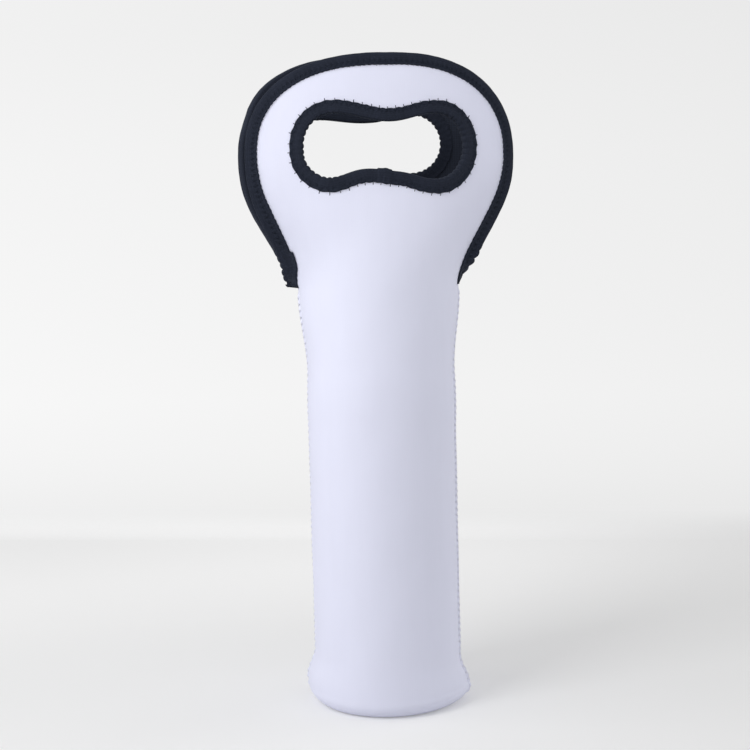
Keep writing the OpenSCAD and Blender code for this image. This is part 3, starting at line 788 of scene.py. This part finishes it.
def stitched(into, depth, row, sunk, wave):
    """How deep the zigzag pulls the tape in, on either side of the laminate. The wave is from -1 to 1."""
    middle, width = row
    on_sides = np.abs(depth - WALL / 2) > WALL / 2 + 0.2
    return bell(into - middle, width) * on_sides * mix(*sunk, (1 + wave) / 2)


def near_hem(into):
    return clip01((into - 4.6) / 1.2)


def hole_binding(name, side):
    """Tape round the hand hole, gathered at its tight ends and lapped at the bottom middle."""
    place, ahead, along, total = resample(hole_curve(side), 560, True)
    tight = ease((np.abs(place[:, 0]) - LOBE_X * 0.72) / (LOBE_X * 0.45))[:, None]
    seed = HOLE_SEED[side]
    gathers, dents, zigzags = (round(total / pitch) for pitch in (HOLE_GATHER, HOLE_STITCH / 2, HOLE_STITCH))

    def shape(into, depth, run):
        round_way = 2 * PI * run / total
        gather = saw(gathers * (run / total + 0.0025 * wobble(9 * round_way, seed)))
        edge = bell(into + 0.7, 1.6)
        fold = np.sign(depth - WALL / 2)
        into = into - tight * edge * mix(-HOLE_GATHER_IN, HOLE_GATHER_OUT, gather)
        depth = depth + tight * fold * bell(into - 0.6, 1.9) * HOLE_FOLD * (gather - 0.5)
        depth = depth - fold * stitched(into, depth, HOLE_ROW, HOLE_SUNK, np.cos(dents * round_way))
        # the tape is cut and lies unevenly
        hem = HOLE_HEM_STITCHED * np.cos(zigzags * round_way) + HOLE_HEM_LOOSE * wobble(15 * round_way, seed)
        into = into + near_hem(into) * hem
        depth = depth + fold * bell(into - 1.5, 3) * HOLE_SLACK * wobble(23 * round_way, seed + 1)
        # its two ends lap
        x = np.where(run > total / 2, run - total, run)
        lap = ease((x - LAP_FROM) / LAP_STEP) * ease((LAP_TO - x) / LAP_STEP)
        thick = (depth < 0) | (into < 0) | (depth > WALL)
        depth = depth + np.where(thick, fold * LAP_T * lap * clip01(np.abs(depth - WALL / 2) / 2.5), 0)
        return into - (LAP_OUT * lap + LAP_NOTCH * bell(x + 0.5, 1.6)) * edge, depth

    return make_tape(name, sweep(place, -left_of(ahead), along, side, shape, True))


def make_tape(name, swept):
    points, faces, cloth = swept
    return make(name, points, faces, [tape_cloth], uv=cloth)


def edge_path(side):
    """Places on the sheet from the right tail over the crown to the left tail."""
    right_z = np.linspace(TAIL_Z, FOLD_HIGH, 60)[:-1]
    left_z = np.linspace(FOLD_HIGH, TAIL_Z, 60)[1:]
    right = np.stack([ruler(right_z, 1.0), right_z], axis=-1)
    crown = outline_place(np.linspace(0, OUTLINE_N, 900), side)
    left = np.stack([-ruler(left_z, -1.0), left_z], axis=-1)
    return np.concatenate([right, crown, left])


def left_end(into, depth, left):
    """The left end stands out flat from the seam, with a second layer lapped over it, and tapers."""
    tab = steps(left, TAB_START) * (1 - steps(left, TAB_THINS))
    into = into + np.where(into > TAPE_W / 2, TAB_W * tab, 0)
    depth = depth - np.where(depth < 0, TAB_T * tab * ease((into - 1) / 3), 0)
    into = into - steps(left, LEFT_TAPER)
    return into + np.where(into < 2, steps(left, LEFT_ROUNDING), 0), depth


def edge_binding(name, side):
    """Tape over the edge of a head, gathered towards its two ends beside the seams."""
    place, ahead, along, total = resample(edge_path(side), 1000, False)
    seed = EDGE_SEED[side]

    def shape(into, depth, run):
        left = total - run
        fold = np.sign(depth - WALL / 2)
        stitch = np.cos(2 * PI * run / EDGE_STITCH)
        depth = depth - fold * stitched(into, depth, EDGE_ROW, EDGE_SUNK, stitch)
        into = into + near_hem(into) * (EDGE_HEM_STITCHED * stitch + EDGE_HEM_LOOSE * wobble(run / 7.0, seed))
        depth = depth + fold * bell(into - 0.8, 2.2) * EDGE_SLACK * wobble(run / 4.3, seed + 1)
        edge = bell(into + 0.8, 1.5)
        into = into - edge * EDGE_LOOSE * wobble(run / 5.0, seed + 2)
        # the gathers
        ends = np.maximum(steps(run, RIGHT_GATHERED), steps(left, LEFT_GATHERED))
        on_right = run < left
        bumps = saw(np.where(on_right, run - 0.5, left) / np.where(on_right, *END_GATHER))
        into = into - ends * edge * np.where(on_right, *END_GATHER_H) * (bumps - 0.45)
        depth = depth + ends * fold * bell(into - 1.5, 3) * END_FOLD * (bumps - 0.5)
        # the right end's rounded edge is drawn in
        into = into + np.where(into < TAPE_W / 2, steps(run, RIGHT_DRAWN_IN), 0)
        return left_end(into, depth, left)

    def fray(into, depth, run):
        """The left end is cut unevenly, shorter at its rounded edge."""
        rise = 0.4 + 0.6 * wobble(into * 2.1 + depth * 1.3, seed) + 0.7 * ease((2.2 - into) / 3.4)
        return steps(total - run, LEFT_FRAYED) * rise

    return make_tape(name, sweep(place, left_of(ahead), along, side, shape, False, fray))


# Threads, which dip into the cloth where a needle went through. Zigzags run between two distances from the
# cut edge. Hairs start on the tape and reach past its inner edge, round the hole by (least, most).
HOLE_THREAD_N, EDGE_THREAD_N = 2400, 3300
HOLE_ZIGZAG, EDGE_ZIGZAG = (5.5, 3.0), (2.2, 5.6)
HOLE_HAIR_FROM, HOLE_HAIR_REACH, HOLE_HAIR_R, HOLE_HAIR_LEAN = 4.9, (0.75, 1.45), (0.17, 0.22), 1.6
EDGE_HAIR_FROM, EDGE_HAIR_SLANT, EDGE_HAIR_R = 5.0, 0.6, 0.12
# along the sides, and what a hair has more in the middle of the crown, at least and by chance
SIDE_REACH, CROWN_REACH, CHANCE_REACH = 0.15, 0.15, 0.40
HOLE_STITCH_R, EDGE_STITCH_R, SEAM_STITCH_R = 0.14, 0.15, 0.16
# the edge's zigzag and hairs stop short of the tape's ends
BARE_ENDS, BARE_START, NO_HAIRS = 24.0, 3.0, 60.0
SEAM_LOW, SEAM_HIGH, SEAM_ZIGZAG = 12.0, SEAM_H - 2.5, 2.4


def on_curve(place, inward, into, depth, side):
    p = place + inward * (np.asarray(into) * tape_share(place[..., 1]))[..., None]
    return on_sheet(p[..., 0], p[..., 1], depth, side)


def hole_threads(name, side):
    """Overcast zigzag round the hole: each stitch dips into the white face, crosses the tape's edge and dips
    into the tape."""
    place, ahead, _, _ = resample(hole_curve(side), HOLE_THREAD_N, True)
    inward = -left_of(ahead)
    # the stitches are evenly spaced along the middle of the tape
    run = run_along(place + inward * 3.5)
    count = round(run[-1] / HOLE_STITCH) + 1
    stations = np.searchsorted(run, (np.arange(count) + 0.5) / count * run[-1])
    rng = np.random.default_rng(7 if side == FRONT else 8)
    q = np.linspace(0, 1, 8)
    parts = []

    def thread(shift, into, depth, radius, k):
        index = (stations[k] + np.round(shift).astype(int)) % HOLE_THREAD_N
        parts.append(tube(on_curve(place[index], inward[index], into, depth, side), radius))

    for k in range(count):
        # a hair runs from the tape over its inner edge onto the face
        reach = mix(*HOLE_HAIR_REACH, rng.random())
        lean = rng.normal(0, HOLE_HAIR_LEAN)
        into = mix(TAPE_W + reach, HOLE_HAIR_FROM, q)
        over = ease((TAPE_W + 0.30 - into) / 0.8)
        depth = -mix(0.10, TAPE_T + 0.02, over) + 0.30 * bell(q, 0.10) + 0.35 * bell(q - 1, 0.14)
        thread(mix(lean, 0, q), into, depth, mix(*HOLE_HAIR_R, rng.random()), k)
        # on the tape the thread slants to the hairs beside it
        for leg in (-1, 1):
            half_way = (stations[(k + leg) % count] - stations[k]) / 2
            # the last stitch and the first meet across the start of the curve
            half_way = half_way if abs(half_way) < HOLE_THREAD_N / 24 else leg * HOLE_THREAD_N / 200
            depth = -(TAPE_T - 0.06) + 0.32 * (bell(q, 0.12) + bell(q - 1, 0.12))
            thread(half_way * q, mix(*HOLE_ZIGZAG, q), depth, HOLE_STITCH_R, k)
    return make_thread(name, join(parts), dark_thread)


def make_thread(name, sewn, material):
    points, faces, cloth = sewn
    return make(name, points, faces, [material], uv=cloth)


def edge_threads(name, side):
    """Zigzag in the inner half of the edge tape, with small hairs on the white face along the crown."""
    place, ahead, _, total = resample(edge_path(side), EDGE_THREAD_N, False)
    inward = left_of(ahead)
    per = total / (EDGE_THREAD_N - 1)
    leg = EDGE_STITCH / 2
    path = []
    for k in range(int((total - BARE_ENDS) / leg)):
        near, far = EDGE_ZIGZAG if k % 2 == 0 else EDGE_ZIGZAG[::-1]
        for q in (0.0, 0.33, 0.67):
            i = round(BARE_START / per + (k + q) * (leg / per))
            depth = -(TAPE_FIT + TAPE_T - 0.10) + (0.22 if q == 0 else 0.0)
            path.append(on_curve(place[i], inward[i], mix(near, far, q), depth, side))
    parts = [tube(path, EDGE_STITCH_R)]
    rng = np.random.default_rng(3 if side == FRONT else 4)
    q = np.linspace(0, 1, 6)
    run = NO_HAIRS
    while run < total - NO_HAIRS:
        crown = ease((run - 90) / 80) * ease((total - 90 - run) / 80)
        reach = SIDE_REACH + crown * (CROWN_REACH + CHANCE_REACH * rng.random())
        into = mix(TAPE_W + reach, EDGE_HAIR_FROM, q)
        depth = -mix(0.12, TAPE_T, ease((TAPE_W + 0.35 - into) / 0.8)) + 0.3 * bell(q, 0.1)
        slant = q * EDGE_HAIR_SLANT / per * (1 if int(run) % 2 else -1)
        index = np.round(int(run / per) + slant).astype(int)
        parts.append(tube(on_curve(place[index], inward[index], into, depth, side), EDGE_HAIR_R))
        run += EDGE_STITCH * (1 + int(rng.integers(0, 3)))
    return make_thread(name, join(parts), dark_thread)


def seam_point(hand, d, z, side, up):
    """A place beside a side seam: d is the distance from the seam, up the height over the lips."""
    s = hand * (1 - d / QUARTER) * ruler(z, hand)
    return on_sheet(s, z, -(lips(d, z, side) + relief(s, z, side) + up), side)


def seam_threads(name, hand):
    """Zigzag across a side seam. It dips at the dents of the lips, which lie half a pitch on at the back."""
    leg = SEAM_PITCH / 2
    path = []
    for k in range(int((SEAM_HIGH - SEAM_LOW) / leg)):
        first = FRONT if k % 2 == 0 else BACK
        for q in np.linspace(0, 1, 9)[:-1]:
            side = first if q < 0.5 else -first
            up = -0.25 if q == 0 else 0.10
            path.append(seam_point(hand, abs(1 - 2 * q) * SEAM_ZIGZAG, SEAM_LOW + (k + q) * leg, side, up))
    return make_thread(name, tube(path, SEAM_STITCH_R), white_thread)


# The carrier
LAYERS = [zone + layer for zone in ("", "fold_", "head_") for layer in ("face", "foam", "lining")]

for side, tag in ((FRONT, "front"), (BACK, "back")):
    head = f"{tag}_head"

    shell = panel(f"{tag}_panel", side)
    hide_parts(*[f"{tag}_{layer}" for layer in LAYERS])
    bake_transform(shell)

    hole = hole_binding(f"{tag}_hole_tape", side)
    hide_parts(f"{tag}_hole_binding")
    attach(hole, head)

    edge = edge_binding(f"{tag}_edge_tape", side)
    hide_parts(f"{tag}_edge_binding", f"{tag}_left_tail", f"{tag}_right_tail")
    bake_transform(edge)

    hairs = hole_threads(f"{tag}_hole_stitches", side)
    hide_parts(f"{tag}_hole_thread")
    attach(hairs, head)

    zigzag = edge_threads(f"{tag}_edge_stitches", side)
    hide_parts(f"{tag}_edge_thread")
    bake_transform(zigzag)

for hand, tag in ((-1, "left"), (1, "right")):
    seam = seam_threads(f"{tag}_seam_stitches", hand)
    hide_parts(f"{tag}_seam_thread")
    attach(seam, "sleeve")

for slot in bpy.data.objects["base_seam_thread"].material_slots:
    slot.material = white_thread

# The camera's angles, and its distance from the carrier's axis and height in metres
AZIMUTH, YAW, PITCH, ROLL = (math.radians(v) for v in (-11.16, 0.19, 6.63, -1.54))
DISTANCE, HEIGHT = 0.8787, 0.28592
HEADING = AZIMUTH + YAW
SPOT = Vector((math.sin(AZIMUTH) * DISTANCE, -math.cos(AZIMUTH) * DISTANCE, HEIGHT))
FOCAL_PX, PICTURE_PX, SENSOR_MM = 1600.0, 750.0, 36.0

# The studio, in metres. The backdrop stands so far from the camera, turned so that its foot looks level.
FLOOR_FROM, WALL_AT, WALL_H, HALF_SPAN = -3.0, 1.31, 3.0, 4.0
WALL_BEND = 0.035
STUDIO_TURN = HEADING - 0.12
FLOOR_GREY = (0.80, 0.80, 0.80)
# greys of the backdrop up its height, painted light and shade on plain paper, as (share of its shaded height,
# grey)
SHADED_H = 0.42
WALL_GREYS = [(0.0, 0.83), (0.04, 0.852), (0.11, 0.882), (0.17, 0.90), (0.27, 0.917), (0.466, 0.905),
              (0.75, 0.89), (1.0, 0.865)]
FLOOR_GLOW = 0.125


def greys(tree, share):
    """The backdrop's greys, for a share of its height."""
    ramp = node(tree, "ValToRGB", {"Fac": share})
    elements = ramp.color_ramp.elements
    while len(elements) < len(WALL_GREYS):
        elements.new(0.5)
    for element, (position, grey) in zip(elements, WALL_GREYS):
        element.position = position
        element.color = (grey, grey, grey, 1)
    return ramp.outputs["Color"]


def paper():
    """Pale paper. Only its floor is lit by the lamps, and only the camera sees the greys of its wall. From
    behind or below it is clear."""
    material, tree, shader = new_material("paper")
    place = node(tree, "TexCoord").outputs["Object"]
    x, y, z = node(tree, "SeparateXYZ", {"Vector": place}).outputs
    seen = node(tree, "LightPath").outputs["Is Camera Ray"]
    # the floor in the photograph is lit more evenly than the key light alone lights it
    away = ranged(tree, y, 0.05, 0.35, 0.0, 0.13, smooth=True)
    beside = ranged(tree, x, -0.20, 0.30, 1.0, 2.14, smooth=True)
    beyond = ranged(tree, x, -0.18, 0.49, 1.0, 0.07, smooth=True)
    glow = computed(tree, "MULTIPLY", computed(tree, "MULTIPLY", away, beside), beyond)
    glow = computed(tree, "ADD", glow, FLOOR_GLOW)
    feed(tree, shader, {
        "Base Color": (*FLOOR_GREY, 1),
        "Roughness": 0.9,
        "Specular IOR Level": 0.1,
        "Emission Color": (1, 1, 1, 1),
        "Emission Strength": computed(tree, "MULTIPLY", glow, seen),
    })
    # the wall glows with painted light: shaded up its height and brighter to the left
    shade = {
        "Color": greys(tree, ranged(tree, z, 0.0, SHADED_H)),
        "Strength": ranged(tree, x, -0.35, 0.45, 1.03, 0.94),
    }
    clear = node(tree, "BsdfTransparent").outputs[0]
    wall = mixed_shader(tree, seen, clear, node(tree, "Emission", shade).outputs[0])
    on_wall = ranged(tree, z, 0.0, 0.02, smooth=True)
    paper_side = mixed_shader(tree, on_wall, shader.outputs[0], wall)
    behind = node(tree, "NewGeometry").outputs["Backfacing"]
    feed(tree, tree.nodes["Material Output"], {"Surface": mixed_shader(tree, behind, paper_side, clear)})
    return material


def backdrop():
    """A floor that curves up into a wall behind it."""
    across = np.array([math.cos(STUDIO_TURN), math.sin(STUDIO_TURN)])
    away = np.array([-math.sin(STUDIO_TURN), math.cos(STUDIO_TURN)])
    bend_at = WALL_AT - WALL_BEND
    profile = [(FLOOR_FROM, 0.0), (0.4, 0.0), (bend_at - 0.2, 0.0)]
    profile += [(bend_at + WALL_BEND * math.sin(a), WALL_BEND * (1 - math.cos(a)))
                for a in np.linspace(0, PI / 2, 12)]
    profile += [(WALL_AT, 0.2), (WALL_AT, WALL_H)]
    points = [(*(SPOT[:2] + away * d + across * w), h) for d, h in profile for w in (-HALF_SPAN, HALF_SPAN)]
    mesh = bpy.data.meshes.new("backdrop")
    mesh.from_pydata(points, [], [(2 * i, 2 * i + 1, 2 * i + 3, 2 * i + 2) for i in range(len(profile) - 1)])
    mesh.shade_smooth()
    mesh.materials.append(paper())
    obj = bpy.data.objects.new("backdrop", mesh)
    bpy.context.scene.collection.objects.link(obj)


def surroundings(strength):
    world = bpy.data.worlds.new("studio")
    bpy.context.scene.world = world
    world.use_nodes = True
    feed(world.node_tree, world.node_tree.nodes["Background"], {"Color": (1, 1, 1, 1), "Strength": strength})


def softbox(name, where, aim, size, power):
    light = bpy.data.lights.new(name, "AREA")
    light.shape = "RECTANGLE"
    light.size, light.size_y = size
    light.energy = power
    obj = bpy.data.objects.new(name, light)
    bpy.context.scene.collection.objects.link(obj)
    obj.location = where
    obj.rotation_euler = (Vector(aim) - Vector(where)).to_track_quat("-Z", "Y").to_euler()
    obj.visible_camera = False
    return obj


def place_camera():
    camera = bpy.data.cameras.new("camera")
    camera.sensor_fit = "HORIZONTAL"
    camera.sensor_width = SENSOR_MM
    camera.lens = FOCAL_PX / PICTURE_PX * SENSOR_MM
    camera.clip_start = 0.01
    obj = bpy.data.objects.new("camera", camera)
    bpy.context.scene.collection.objects.link(obj)
    level_ahead = Vector((-math.sin(HEADING), math.cos(HEADING), 0))
    ahead = level_ahead * math.cos(PITCH) - Vector((0, 0, math.sin(PITCH)))
    right = Vector((math.cos(HEADING), math.sin(HEADING), 0))
    up = right.cross(ahead)
    rolled_right = right * math.cos(ROLL) + up * math.sin(ROLL)
    rolled_up = up * math.cos(ROLL) - right * math.sin(ROLL)
    axes = Matrix((rolled_right, rolled_up, -ahead)).transposed()
    obj.matrix_world = Matrix.Translation(SPOT) @ axes.to_4x4()
    bpy.context.scene.camera = obj


backdrop()
surroundings(strength=0.475)
softbox("key", (-0.55, -0.34, 0.64), aim=(0, 0, 0.24), size=(0.35, 0.35), power=2.25)
softbox("side", (-1.05, 0.12, 0.34), aim=(0, 0, 0.20), size=(0.6, 0.6), power=2.1)
softbox("rim", (1.18, 0.20, 0.40), aim=(0, 0, 0.19), size=(0.9, 0.7), power=3.3)
fill = softbox("fill", (0.0, -0.34, 0.54), aim=(0, 0, 0.30), size=(0.25, 0.25), power=0.42)
fill.data.use_shadow = False
place_camera()
bpy.context.scene.view_settings.view_transform = "Standard"
